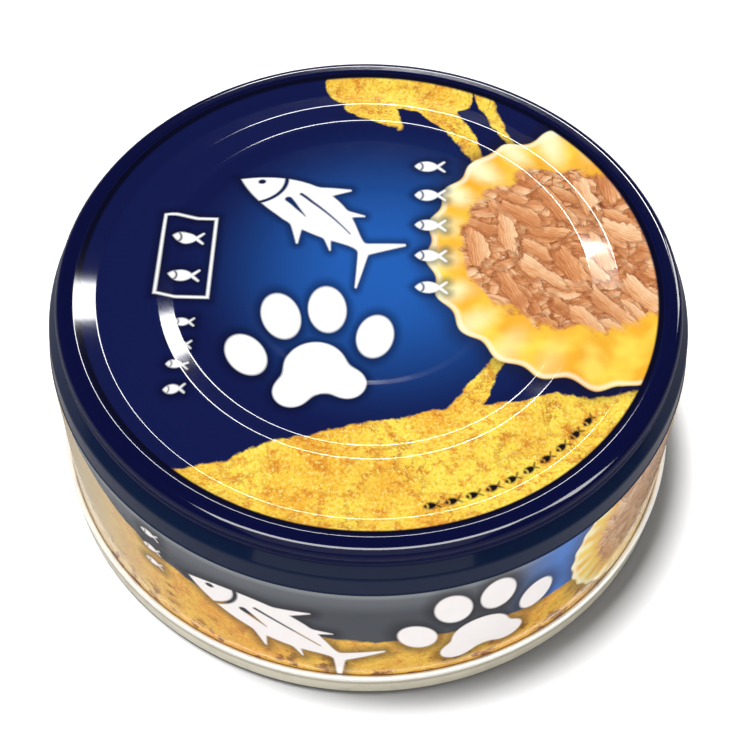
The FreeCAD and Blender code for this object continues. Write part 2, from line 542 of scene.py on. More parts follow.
@dataclass
class MeatFlakes(Effect):
    """Loose flakes of cooked fish, drawn as shreds that lie over each other.

    Each layer has its cells for each unit, its turn in radians and its seed.
    """

    shreds: ShredLayer
    title = "meat flakes"
    results = (("Colour", "NodeSocketColor"),)
    layers: ClassVar[tuple[tuple[float, float, float], ...]] = (
        (8.6, 0.3, 1.0),
        (9.8, 2.4, 5.0),
        (7.0, 1.5, 11.0),
        (5.8, 2.9, 31.0),
        (5.0, 0.5, 17.0),
        (4.0, 1.0, 23.0),
    )

    def draw(self, sketch: Sketch, given: Outputs) -> Drawn:
        """Draws the flakes.

        Args:
            sketch: Draws in the group.
            given: The point.

        Returns:
            The colour.
        """
        point = given["Point"]
        crumb = sketch.noise(point, 15, 4, 0.7)
        colour = sketch.colour(sketch.span(crumb, 0.36, 0.56), Ink.FLAKE_GAP, Ink.FLAKE)
        colour = sketch.colour(sketch.span(crumb, 0.37, 0.31), colour, Ink.FLAKE_DARK)
        for scale, turn, seed in self.layers:
            layer = sketch.group(self.shreds, Point=point, Scale=scale, Turn=turn, Seed=seed)
            colour = sketch.colour(sketch.times(layer["Shade"], 0.6), colour, Ink.FLAKE_GAP)
            dim = sketch.colour(sketch.span(layer["Tone"], 0.05, 0.45), Ink.FLAKE_DEEP, Ink.FLAKE)
            lit = sketch.colour(sketch.span(layer["Tone"], 0.4, 0.85), dim, Ink.FLAKE_LIGHT)
            colour = sketch.colour(layer["Mask"], colour, lit)
        hollow = sketch.span(sketch.noise(point, 5.5, 3, 0.6), 0.52, 0.68, smooth=True)
        return {"Colour": sketch.colour(sketch.times(hollow, 0.5), colour, Ink.FLAKE_DEEP)}


class Varnish(Effect):
    """Faint unevenness of the varnished sheet, as a height from 0 to 1."""

    title = "varnish"
    results = (("Height", "NodeSocketFloat"), ("Dust", "NodeSocketFloat"))

    def draw(self, sketch: Sketch, given: Outputs) -> Drawn:
        """Draws the unevenness.

        Args:
            sketch: Draws in the group.
            given: The point, in millimetres.

        Returns:
            The height, and faint smears from 0 to 1.
        """
        point = given["Point"]
        wave = sketch.noise(point, 0.16, 1)
        peel = sketch.noise(point, 1.3, 1)
        smear = sketch.span(sketch.noise(point, 0.3, 4, 0.65), 0.45, 0.75)
        return {"Height": sketch.line(peel, 0.1, wave), "Dust": smear}


@dataclass
class Effects:
    """The shared effects, each built once."""

    fish: FishMark
    paw: PawMark
    small_fish: SmallFishMark
    gold: GoldLeaf
    flakes: MeatFlakes
    varnish: Varnish

    @classmethod
    def made(cls) -> "Effects":
        """All effects, ready to be placed."""
        return cls(FishMark(), PawMark(), SmallFishMark(), GoldLeaf(), MeatFlakes(ShredLayer()), Varnish())


@dataclass(frozen=True)
class Gloss:
    """How a surface shines."""

    roughness: float
    ior: float
    metallic: float = 0.0
    smeared: float = 0.02  # how much rougher it is where there are smears
    bump_height: float = 0.01 * MM


@dataclass(frozen=True)
class Finish:
    """A material with one Principled shader, drawn in the piece's own coordinates."""

    gloss: Gloss
    effects: Effects
    title: ClassVar[str] = "finish"

    def material(self) -> bpy.types.Material:
        """Makes the material.

        Returns:
            The material.
        """
        material = bpy.data.materials.new(self.title)
        material.use_nodes = True
        material.node_tree.nodes.clear()
        sketch = Sketch(material.node_tree)
        gloss = self.gloss
        place = sketch.outputs("ShaderNodeTexCoord", {})["Object"]
        varnish = sketch.group(self.effects.varnish, Point=sketch.scaled(place, 1 / MM))
        waves = {"Strength": 1.0, "Distance": gloss.bump_height, "Height": varnish["Height"]}
        looks = {
            "Base Color": self.paint(sketch, place, varnish["Dust"]),
            "Roughness": sketch.line(varnish["Dust"], gloss.smeared, gloss.roughness),
            "IOR": gloss.ior,
            "Metallic": gloss.metallic,
            "Normal": sketch.outputs("ShaderNodeBump", waves)[0],
        }
        shader = sketch.outputs("ShaderNodeBsdfPrincipled", looks)[0]
        sketch.outputs("ShaderNodeOutputMaterial", {"Surface": shader})
        return material

    def paint(self, sketch: Sketch, place: Socket, dust: Socket) -> Socket:
        """Paints the surface. Each finish has its own.

        Args:
            sketch: Draws in the material.
            place: The point on the piece, in metres.
            dust: Faint smears from 0 to 1.

        Returns:
            The base colour.
        """
        raise NotImplementedError


@dataclass(frozen=True)
class NavyVarnish(Finish):
    """Plain navy print of the rim, the shoulder and the band, which gets greyer down the band."""

    shoulder_top: float
    title = "navy varnish"
    above: ClassVar[float] = 0.3 * MM
    below: ClassVar[float] = 0.4 * MM

    def paint(self, sketch: Sketch, place: Socket, dust: Socket) -> Socket:
        """Paints navy that changes at the shoulder's top.

        Args:
            sketch: Draws in the material.
            place: The point on the piece, in metres.
            dust: Faint smears from 0 to 1. Not used here.

        Returns:
            The base colour.
        """
        height = sketch.split(place)[2]
        down = sketch.span(height, self.shoulder_top + self.above, self.shoulder_top - self.below)
        return sketch.colour(down, Ink.RIM_NAVY, Ink.BAND_NAVY)


@dataclass(frozen=True)
class Column:
    """A column of little fish. Places and sizes are in print radii."""

    foot: Flat
    pitch: float
    count: int
    size: float

    def drawn(self, sketch: Sketch, point: Socket, fish: SmallFishMark) -> Socket:
        """Draws the column.

        Args:
            sketch: Draws in the material.
            point: The point in print radii.
            fish: The little fish.

        Returns:
            Its distance.
        """
        x, y, _ = sketch.split(sketch.vector("SUBTRACT", point, (*self.foot, 0)))
        rise = sketch.in_step(sketch.math("DIVIDE", y, self.pitch), self.count)
        local = sketch.joined(sketch.math("DIVIDE", x, self.size), sketch.times(rise, self.pitch / self.size))
        return sketch.times(sketch.drawn(fish, local), self.size)


@dataclass(frozen=True)
class Dish:
    """Printed fluted dish of flakes. Places and sizes are in print radii."""

    centre: Flat = (0.79, 0.145)
    radius: float = 0.585
    flutes: int = 22
    flute_depth: float = 0.012
    edge_line: float = 0.012
    heap_centre: Flat = (0.73, 0.17)
    heap_size: Flat = (0.42, 0.385)

    def lay(self, sketch: Sketch, point: Socket, below: Socket, flakes: MeatFlakes) -> Socket:
        """Lays the dish over what is printed so far.

        Args:
            sketch: Draws in the material.
            point: The point in print radii.
            below: The colour so far.
            flakes: What the dish is filled with.

        Returns:
            The colour.
        """
        local = sketch.vector("SUBTRACT", point, (*self.centre, 0))
        x, y, _ = sketch.split(local)
        wave = sketch.math("SINE", sketch.times(sketch.math("ARCTAN2", y, x), float(self.flutes)))
        far = sketch.vector("LENGTH", local)
        edge = sketch.minus(sketch.line(wave, -self.flute_depth, far), self.radius)
        shadow = sketch.span(edge, 0.09, -0.02, smooth=True)
        colour = sketch.colour(sketch.times(shadow, 0.62), below, Ink.INK_BLACK)
        rim = sketch.span(far, self.radius * 0.6, self.radius * 0.95, smooth=True)
        flute = sketch.times(sketch.line(wave, 0.5, 0.5), rim)
        cloud = sketch.span(sketch.noise(point, 6.5, 2), 0.4, 0.62)
        glaze = sketch.colour(cloud, Ink.DISH_DEEP, Ink.DISH)
        light = sketch.times(flute, sketch.span(sketch.minus(y, x), -0.55, 0.45))
        glaze = sketch.colour(light, glaze, Ink.DISH_LIGHT)
        colour = sketch.colour(sketch.inside(edge), colour, glaze)
        line = sketch.edging(sketch.math("ADD", edge, self.edge_line), 0.007)
        colour = sketch.colour(sketch.times(sketch.inside(line, 0.008), 0.75), colour, Ink.DISH_EDGE)
        heap = sketch.oval(point, self.heap_centre, self.heap_size)
        heap = sketch.minus(sketch.line(sketch.noise(point, 11, 3, 0.6), 0.16, heap), 0.07)
        warm = sketch.span(heap, 0.08, -0.01, smooth=True)
        colour = sketch.colour(sketch.times(warm, 0.75), colour, Ink.DISH_DEEP)
        return sketch.colour(sketch.inside(heap, 0.012), colour, sketch.drawn(flakes, point))


@dataclass(frozen=True)
class EndPrint(Finish):
    """Print of the can's top: navy with a blue glow, gold leaf, a dish of flakes and white marks.

    Places and sizes are in print radii, and angles are in degrees from +X.
    """

    print_radius: float
    title = "end print"
    dish: ClassVar[Dish] = Dish()
    shore_centre: ClassVar[Flat] = (1.087, -4.762)
    shore_radius: ClassVar[float] = 4.306
    tongues: ClassVar[Strokes] = (
        ((0.27, -0.62), (0.45, -0.32), (0.06, 0.018)),
        ((-0.05, -0.64), (-0.34, -0.7), (0.03, 0.003)),
        ((-0.08, 0.97), (0.3, 0.93), (0.1, 0.09)),
        ((-0.02, 0.88), (0.1, 0.74), (0.1, 0.02)),
        ((0.24, 0.88), (0.44, 0.5), (0.075, 0.012)),
        ((0.4, 0.95), (0.56, 0.6), (0.03, 0.014)),
    )
    columns: ClassVar[tuple[Column, ...]] = (
        Column((0.215, -0.1), 0.144, 5, 0.125),
        Column((-0.65, -0.09), 0.17, 2, 0.12),
        Column((-0.63, -0.54), 0.095, 4, 0.08),
    )
    frame_centre: ClassVar[Flat] = (-0.65, 0.08)
    frame_half_size: ClassVar[Flat] = (0.09, 0.18)
    frame_line: ClassVar[float] = 0.005
    row_radius: ClassVar[float] = 0.915
    row_start: ClassVar[float] = -79.0
    row_pitch: ClassVar[float] = 4.3
    row_count: ClassVar[int] = 10
    row_fish: ClassVar[float] = 0.062

    def gold_edge(self, sketch: Sketch, point: Socket) -> Socket:
        """The torn fields of gold leaf.

        Args:
            sketch: Draws in the material.
            point: The point in print radii.

        Returns:
            Their distance.
        """
        shore = sketch.disc(point, self.shore_centre, self.shore_radius)
        tongues = sketch.any_of(*sketch.strokes(point, self.tongues))
        tear = sketch.noise(point, 7.5, 4, 0.62)
        return sketch.line(tear, 0.07, sketch.minus(sketch.any_of(shore, tongues), 0.035))

    def edge_row(self, sketch: Sketch, point: Socket) -> Socket:
        """The row of little fish along the near edge.

        Args:
            sketch: Draws in the material.
            point: The point in print radii.

        Returns:
            Its distance.
        """
        pitch = math.radians(self.row_pitch)
        x, y, _ = sketch.split(point)
        turned = sketch.minus(sketch.math("ARCTAN2", y, x), math.radians(self.row_start))
        along = sketch.in_step(sketch.math("DIVIDE", turned, pitch), self.row_count)
        along = sketch.times(along, pitch * self.row_radius / self.row_fish)
        rise = sketch.minus(sketch.vector("LENGTH", point), self.row_radius)
        rise = sketch.math("DIVIDE", rise, self.row_fish)
        fish = sketch.drawn(self.effects.small_fish, sketch.joined(along, rise))
        return sketch.times(fish, self.row_fish)

    def marks(self, sketch: Sketch, point: Socket) -> Socket:
        """The white marks: the fish, the paw, columns of little fish and a frame.

        Args:
            sketch: Draws in the material.
            point: The point in print radii.

        Returns:
            Their distance.
        """
        fish = sketch.mark(self.effects.fish, point, (-0.19, 0.3), 0.66, -38)
        paw = sketch.mark(self.effects.paw, point, (-0.19, -0.31), 0.62, 12)
        columns = [column.drawn(sketch, point, self.effects.small_fish) for column in self.columns]
        x, y, _ = sketch.split(sketch.placed(point, self.frame_centre))
        across = sketch.edging(x, self.frame_half_size[0])
        upright = sketch.edging(y, self.frame_half_size[1])
        frame_edge = sketch.edging(sketch.math("MAXIMUM", across, upright), self.frame_line)
        return sketch.any_of(fish, paw, *columns, frame_edge)

    def paint(self, sketch: Sketch, place: Socket, dust: Socket) -> Socket:
        """Paints the end.

        Args:
            sketch: Draws in the material.
            place: The point on the piece, in metres.
            dust: Faint smears from 0 to 1. Not used here.

        Returns:
            The base colour.
        """
        unit = 1 / self.print_radius
        point = sketch.vector("MULTIPLY", place, (unit, unit, 0))
        far = sketch.vector("LENGTH", point)
        glow = sketch.oval(point, (0.06, 0.06), (1.0, 1.0))
        colour = sketch.colour(sketch.span(glow, -0.28, -0.94, smooth=True), Ink.NAVY, Ink.GLOW)
        gold = sketch.drawn(self.effects.gold, point)
        colour = sketch.colour(sketch.inside(self.gold_edge(sketch, point)), colour, gold)
        colour = self.dish.lay(sketch, point, colour, self.effects.flakes)
        marks = self.marks(sketch, point)
        halo = sketch.times(sketch.span(marks, 0.04, 0.0, smooth=True), 0.6)
        colour = sketch.colour(halo, colour, Ink.DEEP_NAVY)
        colour = sketch.colour(sketch.inside(marks), colour, Ink.WHITE)
        colour = sketch.colour(sketch.inside(self.edge_row(sketch, point)), colour, Ink.INK_BLACK)
        ring = sketch.edging(sketch.minus(far, 1.008), 0.01)
        colour = sketch.colour(sketch.span(far, 0.998, 1.002), colour, Ink.NAVY)
        return sketch.colour(sketch.inside(ring), colour, Ink.DEEP_NAVY)


@dataclass(frozen=True)
class WallPrint(Finish):
    """Print of the wall: dark print under a painted grey reflection and a painted highlight line, over gold
    leaf, with the marks of the top again.

    It is unrolled from the side that faces the viewer, and repeats on the far side.
    """

    wall_radius: float
    top: float
    unit: float
    title = "wall print"
    dish: ClassVar[Dish] = Dish((1.14, -0.2), 0.38, 26, 0.004, 0.01, (1.14, -0.2), (0.27, 0.27))
    white_column: ClassVar[Column] = Column((-0.76, -0.3), 0.095, 3, 0.085)
    dark_column: ClassVar[Column] = Column((-0.7, -0.56), 0.06, 4, 0.055)
    foot_line: ClassVar[float] = -0.568
    foot_line_edge: ClassVar[float] = 0.008

    def paint(self, sketch: Sketch, place: Socket, dust: Socket) -> Socket:
        """Paints the wall.

        Args:
            sketch: Draws in the material.
            place: The point on the piece, in metres.
            dust: Faint smears from 0 to 1. Not used here.

        Returns:
            The base colour.
        """
        x, y, z = sketch.split(place)
        turned = sketch.math("ARCTAN2", x, sketch.times(y, -1.0))
        around = sketch.math("WRAP", turned, math.pi / 2, -math.pi / 2)
        down = sketch.times(sketch.minus(z, self.top), 1 / self.unit)
        point = sketch.joined(sketch.times(around, self.wall_radius / self.unit), down)
        colour = self.ground(sketch, around, down, sketch.scaled(place, 1 / self.unit))
        colour = self.dish.lay(sketch, point, colour, self.effects.flakes)
        pale = sketch.times(self.between(sketch, around, (0.6, 0.9), (1.5, 1.15)), 0.35)
        colour = sketch.colour(pale, colour, Ink.WALL_PALE_AND_SHEEN)
        fish = sketch.mark(self.effects.fish, point, (-0.27, -0.29), 0.7, -30)
        paw = sketch.mark(self.effects.paw, point, (0.4, -0.29), 0.6, 8)
        little = self.effects.small_fish
        marks = sketch.any_of(fish, paw, self.white_column.drawn(sketch, point, little))
        halo = sketch.times(sketch.span(marks, 0.06, 0.0, smooth=True), 0.62)
        colour = sketch.colour(halo, colour, Ink.INK_BLACK)
        # The wall's marks get a slightly dimmer white than the top's, as painted shade.
        colour = sketch.colour(sketch.inside(marks), colour, Ink.SHADED_WALL_WHITE)
        dark = sketch.times(sketch.inside(self.dark_column.drawn(sketch, point, little)), 0.7)
        colour = sketch.colour(dark, colour, Ink.WALL_SPECK)
        line = sketch.span(down, self.foot_line, self.foot_line - self.foot_line_edge)
        return sketch.colour(line, colour, Ink.FOOT_LINE)

    def between(self, sketch: Sketch, around: Socket, rise: Flat, fall: Flat) -> Socket:
        """A mask that rises and falls softly round the wall, each between two turns in radians."""
        return sketch.times(sketch.span(around, *rise, smooth=True), sketch.span(around, *fall, smooth=True))

    def ground(self, sketch: Sketch, around: Socket, down: Socket, solid: Socket) -> Socket:
        """The wall's ground: grey over torn gold, with a blue patch and specks along the foot. The grey is a
        painted reflection of the floor on dark print, with a painted highlight line under the band, and a
        pale strip on the left is a painted sheen.

        Args:
            sketch: Draws in the material.
            around: The turn from the side that faces the viewer, in radians.
            down: The height over the wall's top, in print units.
            solid: The point on the piece, in print units.

        Returns:
            The colour.
        """
        gold = sketch.colour(0.6, sketch.drawn(self.effects.gold, solid), Ink.WALL_GOLD)
        # Painted sheen: the gold turns pale round the wall's left, where it is seen at a grazing angle.
        pale = sketch.times(self.between(sketch, around, (-0.5, -1.0), (-1.5, -1.12)), 0.8)
        gold = sketch.colour(pale, gold, Ink.WALL_PALE_AND_SHEEN)
        blots = sketch.span(sketch.noise(solid, 15, 4, 0.65), 0.53, 0.62)
        near_foot = sketch.span(down, -0.3, -0.55)
        specks = sketch.times(sketch.times(blots, near_foot), 0.85)
        gold = sketch.colour(specks, gold, Ink.WALL_SPECK)
        left = sketch.math("POWER", sketch.span(around, -0.05, -1.1), 1.4)
        right = sketch.span(around, 0.85, 1.25, smooth=True)
        shore = sketch.line(sketch.math("MAXIMUM", left, right), 0.34, -0.35)
        shore = sketch.minus(down, sketch.line(sketch.noise(solid, 7.0, 4, 0.6), 0.07, shore))
        # Painted light: the grey is a painted reflection of the floor on the dark print, lightening to a
        # painted highlight line just under the band.
        grey = sketch.colour(sketch.span(down, -0.005, -0.03), Ink.HIGHLIGHT_GREY_LIGHT, Ink.REFLECTED_GREY_MID)
        grey = sketch.colour(sketch.span(down, -0.03, -0.14, smooth=True), grey, Ink.REFLECTED_GREY_NAVY)
        blue = sketch.times(sketch.span(around, 0.4, 0.62, smooth=True), 0.9)
        grey = sketch.colour(blue, grey, Ink.SKY)
        return sketch.colour(sketch.inside(shore, 0.006), grey, gold)


@dataclass(frozen=True)
class LacqueredMetal(Finish):
    """Warm silver sheet of the seamed-on end under clear lacquer, with a painted shade line round the bead's
    face and a painted highlight along the bead's top rounding.
    """

    title = "lacquered metal"
    shade_line_height: ClassVar[float] = 2.85 * MM
    shade_line_width: ClassVar[float] = 0.4 * MM
    highlight_height: ClassVar[float] = 3.28 * MM
    highlight_edge: ClassVar[float] = 0.12 * MM

    def paint(self, sketch: Sketch, place: Socket, dust: Socket) -> Socket:
        """Paints the metal.

        Args:
            sketch: Draws in the material.
            place: The point on the piece, in metres.
            dust: Faint smears from 0 to 1.

        Returns:
            The base colour.
        """
        height = sketch.split(place)[2]
        colour = sketch.colour(dust, Ink.METAL, Ink.METAL_DULL)
        # Painted shade: a darker line round the bead's flat face.
        from_shade_line = sketch.absolute(sketch.minus(height, self.shade_line_height))
        shade = sketch.span(from_shade_line, self.shade_line_width, self.shade_line_width / 3, smooth=True)
        colour = sketch.colour(sketch.times(shade, 0.8), colour, Ink.METAL_SHADE_LINE)
        # Painted highlight: near white over the bead's top rounding.
        highlight = sketch.span(height, self.highlight_height, self.highlight_height + self.highlight_edge)
        return sketch.colour(highlight, colour, Ink.METAL_HIGHLIGHT)


@dataclass(frozen=True)
class Corner:
    """A corner of a turned outline."""

    radius: float
    height: float
    rounding: float = SHARP

    @property
    def spot(self) -> Vector:
        """The corner's place in the XZ plane."""
        return Vector((self.radius, 0, self.height))


@dataclass(frozen=True)
class Lathe:
    """Turns an outline with rounded corners about the Z axis."""

    steps: int = 256
    arc_step: float = math.radians(6)
    guard: float = 0.02 * MM
    weld: float = 0.002 * MM

    def rounded(self, before: Corner, corner: Corner, after: Corner) -> list[Vector]:
        """The points that round one corner, with a guard point on each side.

        Args:
            before: The corner before it.
            corner: The corner.
            after: The corner after it.

        Returns:
            The points in order.
        """
        if corner.rounding == SHARP:
            return [corner.spot]
        back = (before.spot - corner.spot).normalized()
        ahead = (after.spot - corner.spot).normalized()
        half_angle = back.angle(ahead) / 2
        reach = corner.rounding / math.tan(half_angle)
        middle = corner.spot + (back + ahead).normalized() * (corner.rounding / math.sin(half_angle))
        start = corner.spot + back * reach - middle
        sweep = math.pi - 2 * half_angle
        count = max(3, math.ceil(sweep / self.arc_step))
        sense = 1 if back.cross(ahead).y < 0 else -1
        arc = [middle + Matrix.Rotation(sense * sweep * i / count, 3, "Y") @ start for i in range(count + 1)]
        return [arc[0] + back * self.guard] + arc + [arc[-1] + ahead * self.guard]

    def outline(self, corners: list[Corner]) -> list[Vector]:
        """The points of an open outline.

        Args:
            corners: Its corners, of which the first and the last stay sharp.

        Returns:
            The points.
        """
        points = [corners[0].spot]
        for before, corner, after in zip(corners, corners[1:], corners[2:]):
            points += self.rounded(before, corner, after)
        return points + [corners[-1].spot]

    def turned(self, corners: list[Corner]) -> bmesh.types.BMesh:
        """A closed shell turned from an outline that starts and ends on the axis.

        Args:
            corners: The outline's corners.

        Returns:
            The shell.
        """
        shell = bmesh.new()
        points = [shell.verts.new(spot) for spot in self.outline(corners)]
        edges = [shell.edges.new(pair) for pair in zip(points, points[1:])]
        bmesh.ops.spin(shell, geom=points + edges, cent=(0, 0, 0), axis=(0, 0, 1), angle=math.tau,
                       steps=self.steps, use_merge=True)
        bmesh.ops.remove_doubles(shell, verts=shell.verts, dist=self.weld)
        bmesh.ops.recalc_face_normals(shell, faces=shell.faces)
        for face in shell.faces:
            face.smooth = True
        return shell


def in_scene(name: str, data: bpy.types.ID) -> bpy.types.Object:
    """Puts an object into the scene.

    Args:
        name: Its name.
        data: Its mesh, light or lens.

    Returns:
        The object.
    """
    thing = bpy.data.objects.new(name, data)
    bpy.context.scene.collection.objects.link(thing)
    return thing


def finished(name: str, shell: bmesh.types.BMesh, materials: list[bpy.types.Material],
             node: str) -> bpy.types.Object:
    """Makes a piece of the object from a shell.

    Args:
        name: The piece's name.
        shell: Its shape.
        materials: Its materials in order.
        node: The CAD node that it stands for.

    Returns:
        The piece.
    """
    mesh = bpy.data.meshes.new(name)
    shell.to_mesh(mesh)
    shell.free()
    for material in materials:
        mesh.materials.append(material)
    piece = in_scene(name, mesh)
    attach(piece, BODY)
    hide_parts(node)
    LOG.info("%s: %d faces", name, len(mesh.polygons))
    return piece


@dataclass(frozen=True)
class PrintedBody:
    """Drawn body: stepped end, rim, shoulder, band and wall, in one closed sheet."""

    height: float
    seam_radius: float
    crest_width: float = 0.7 * MM
    crest_inner_round: float = 0.7 * MM
    rim_roll: float = 1.3 * MM
    rim_outer_round: float = 1.15 * MM
    rim_height: float = 2.1 * MM
    rim_foot_round: float = 0.5 * MM
    panel_depth: float = 1.3 * MM
    panel_slope_width: float = 2.6 * MM
    panel_flat_width: float = 2.1 * MM
    panel_round: float = 1.0 * MM
    ring_height: float = 0.8 * MM
    ring_top_width: float = 0.7 * MM
    ring_outer_slope_width: float = 3.6 * MM
    ring_inner_slope_width: float = 2.1 * MM
    ring_round: float = 1.4 * MM
    centre_lift: float = 0.1 * MM
    disc_radius: float = 13.6 * MM
    disc_slope_width: float = 1.0 * MM
    disc_drop: float = 0.14 * MM
    disc_round: float = 3.0 * MM
    shoulder_width: float = 1.1 * MM
    shoulder_drop: float = 1.3 * MM
    shoulder_round: float = 0.8 * MM
    band_height: float = 2.3 * MM
    band_flare: float = 0.3 * MM
    step_width: float = 0.15 * MM
    step_drop: float = 0.3 * MM
    step_round: float = 0.25 * MM
    wall_flare: float = 0.95 * MM
    seam_thickness: float = 0.7 * MM
    seam_mouth: float = 3.3 * MM
    tuck: float = 0.2 * MM
    sheet: float = 0.3 * MM
    floor_height: float = 5.0 * MM
    print_radius: float = 32.2 * MM
    print_margin: float = 0.6 * MM

    @property
    def wall_radius(self) -> float:
        """Radius of the wall at its foot."""
        return self.seam_radius - self.seam_thickness

    @property
    def shoulder_top(self) -> float:
        """Height of the top of the shoulder."""
        return self.height - self.rim_height

    @property
    def band_foot(self) -> float:
        """Height of the foot of the band."""
        return self.shoulder_top - self.shoulder_drop - self.band_height

    @property
    def wall_top(self) -> float:
        """Height of the top of the wall."""
        return self.band_foot - self.step_drop

    def corners(self) -> list[Corner]:
        """The outline from the middle of the top, down the wall, to the middle of the hidden floor.

        Returns:
            Its corners.
        """
        wall_top_radius = self.wall_radius - self.wall_flare
        band_foot_radius = wall_top_radius - self.step_width
        band_top_radius = band_foot_radius - self.band_flare
        rim_radius = band_top_radius - self.shoulder_width
        crest_inner_radius = rim_radius - self.rim_roll - self.crest_width
        panel_radius = crest_inner_radius - self.panel_slope_width
        ring_foot_radius = panel_radius - self.panel_flat_width
        ring_outer_radius = ring_foot_radius - self.ring_outer_slope_width
        ring_inner_radius = ring_outer_radius - self.ring_top_width
        centre_radius = ring_inner_radius - self.ring_inner_slope_width
        panel_top = self.height - self.panel_depth
        ring_top = panel_top + self.ring_height
        centre_top = panel_top + self.centre_lift
        disc_floor = centre_top - self.disc_drop
        return [
            Corner(ON_AXIS, disc_floor),
            Corner(self.disc_radius, disc_floor, self.disc_round),
            Corner(self.disc_radius + self.disc_slope_width, centre_top, self.disc_round),
            Corner(centre_radius, centre_top, self.ring_round),
            Corner(ring_inner_radius, ring_top, self.ring_round),
            Corner(ring_outer_radius, ring_top, self.ring_round),
            Corner(ring_foot_radius, panel_top, self.ring_round),
            Corner(panel_radius, panel_top, self.panel_round),
            Corner(crest_inner_radius, self.height, self.crest_inner_round),
            Corner(rim_radius, self.height, self.rim_outer_round),
            Corner(rim_radius, self.shoulder_top, self.rim_foot_round),
            Corner(band_top_radius, self.shoulder_top - self.shoulder_drop, self.shoulder_round),
            Corner(band_foot_radius, self.band_foot, self.step_round),
            Corner(wall_top_radius, self.wall_top, self.step_round),
            Corner(self.wall_radius, self.seam_mouth),
            Corner(self.wall_radius, self.seam_mouth - self.tuck),
            Corner(self.wall_radius - self.sheet, self.seam_mouth - self.tuck),
            Corner(self.wall_radius - self.sheet, self.floor_height),
            Corner(ON_AXIS, self.floor_height),
        ]

    def build(self, effects: Effects, lathe: Lathe) -> bpy.types.Object:
        """Builds the body and dresses it.

        Args:
            effects: The shared effects.
            lathe: Turns the outline.

        Returns:
            The piece.
        """
        gloss = Gloss(roughness=0.065, ior=1.4)
        soft_gloss = Gloss(roughness=0.14, ior=1.3)
        materials = [
            EndPrint(gloss, effects, self.print_radius).material(),
            NavyVarnish(gloss, effects, self.shoulder_top).material(),
            WallPrint(soft_gloss, effects, self.wall_radius, self.wall_top, self.print_radius).material(),
        ]
        shell = lathe.turned(self.corners())
        for face in shell.faces:
            middle = face.calc_center_median()
            far = math.hypot(middle.x, middle.y)
            if middle.z < self.wall_top + self.step_drop / 2:
                face.material_index = 2
            elif far > self.print_radius + self.print_margin:
                face.material_index = 1
        return finished("printed_body", shell, materials, "can_body")


@dataclass(frozen=True)
class SeamedEnd:
    """Seamed-on end: the bead outside the wall, and the sunk sheet inside it."""

    seam_radius: float
    seam_thickness: float = 0.7 * MM
    seam_height: float = 3.6 * MM
    top_inner_round: float = 0.3 * MM
    top_outer_round: float = 0.35 * MM
    foot_round: float = 0.5 * MM
    sheets: float = 0.6 * MM
    chuck_lean: float = 0.4 * MM
    countersink_depth: float = 4.6 * MM
    countersink_width: float = 1.2 * MM
    countersink_round: float = 0.45 * MM
    panel_depth: float = 3.6 * MM
    panel_slope_width: float = 0.8 * MM
    step_radius: float = 22.0 * MM
    step_width: float = 1.4 * MM
    step_height: float = 0.3 * MM
    step_round: float = 0.6 * MM
    sheet: float = 0.2 * MM

    def corners(self) -> list[Corner]:
        """The outline from the middle of the underside, round the bead, to the middle of the sheet's top.

        Returns:
            Its corners.
        """
        wall = self.seam_radius - self.seam_thickness
        chuck = wall - self.sheets
        sink = chuck - self.chuck_lean
        panel = sink - self.countersink_width - self.panel_slope_width
        step_depth = self.panel_depth + self.step_height
        return [
            Corner(ON_AXIS, step_depth),
            Corner(self.step_radius - self.step_width, step_depth, self.step_round),
            Corner(self.step_radius, self.panel_depth, self.step_round),
            Corner(panel, self.panel_depth, self.countersink_round),
            Corner(sink - self.countersink_width, self.countersink_depth, self.countersink_round),
            Corner(sink, self.countersink_depth, self.countersink_round),
            Corner(chuck, 0, self.foot_round),
            Corner(self.seam_radius, 0, self.foot_round),
            Corner(self.seam_radius, self.seam_height, self.top_outer_round),
            Corner(wall, self.seam_height, self.top_inner_round),
            Corner(wall, self.seam_height - self.seam_thickness),
            Corner(chuck + self.sheet, self.seam_height - self.seam_thickness),
            Corner(chuck + self.sheet, self.countersink_depth + self.sheet),
            Corner(ON_AXIS, self.countersink_depth + self.sheet),
        ]

    def build(self, effects: Effects, lathe: Lathe) -> bpy.types.Object:
        """Builds the end and dresses it.

        Args:
            effects: The shared effects.
            lathe: Turns the outline.

        Returns:
            The piece.
        """
        gloss = Gloss(roughness=0.3, ior=1.45, metallic=0.15, smeared=0.15)
        metal = LacqueredMetal(gloss, effects).material()
        shell = lathe.turned(self.corners())
        return finished("seamed_end", shell, [metal], "can_end")


@dataclass(frozen=True)
class Softbox:
    """A light card seen from the can's middle."""

    name: str
    azimuth: float
    elevation: float
    distance: float
    width: float
    height: float
    brightness: float
    in_gloss: bool = True
    in_diffuse: bool = True

    def build(self, aim: Vector) -> bpy.types.Object:
        """Hangs the light.

        Args:
            aim: The point that it faces.

        Returns:
            The light.
        """
        light = bpy.data.lights.new(self.name, "AREA")
        light.shape = "RECTANGLE"
        light.size = self.width
        light.size_y = self.height
        light.energy = self.brightness * math.pi * self.width * self.height
        lamp = in_scene(self.name, light)
        turn, rise = math.radians(self.azimuth), math.radians(self.elevation)
        away = Vector((math.cos(turn) * math.cos(rise), math.sin(turn) * math.cos(rise), math.sin(rise)))
        facing = away.to_track_quat("Z", "Y").to_matrix().to_4x4()
        lamp.matrix_world = Matrix.Translation(aim + away * self.distance) @ facing
        lamp.visible_camera = False
        lamp.visible_glossy = self.in_gloss
        lamp.visible_diffuse = self.in_diffuse
        return lamp


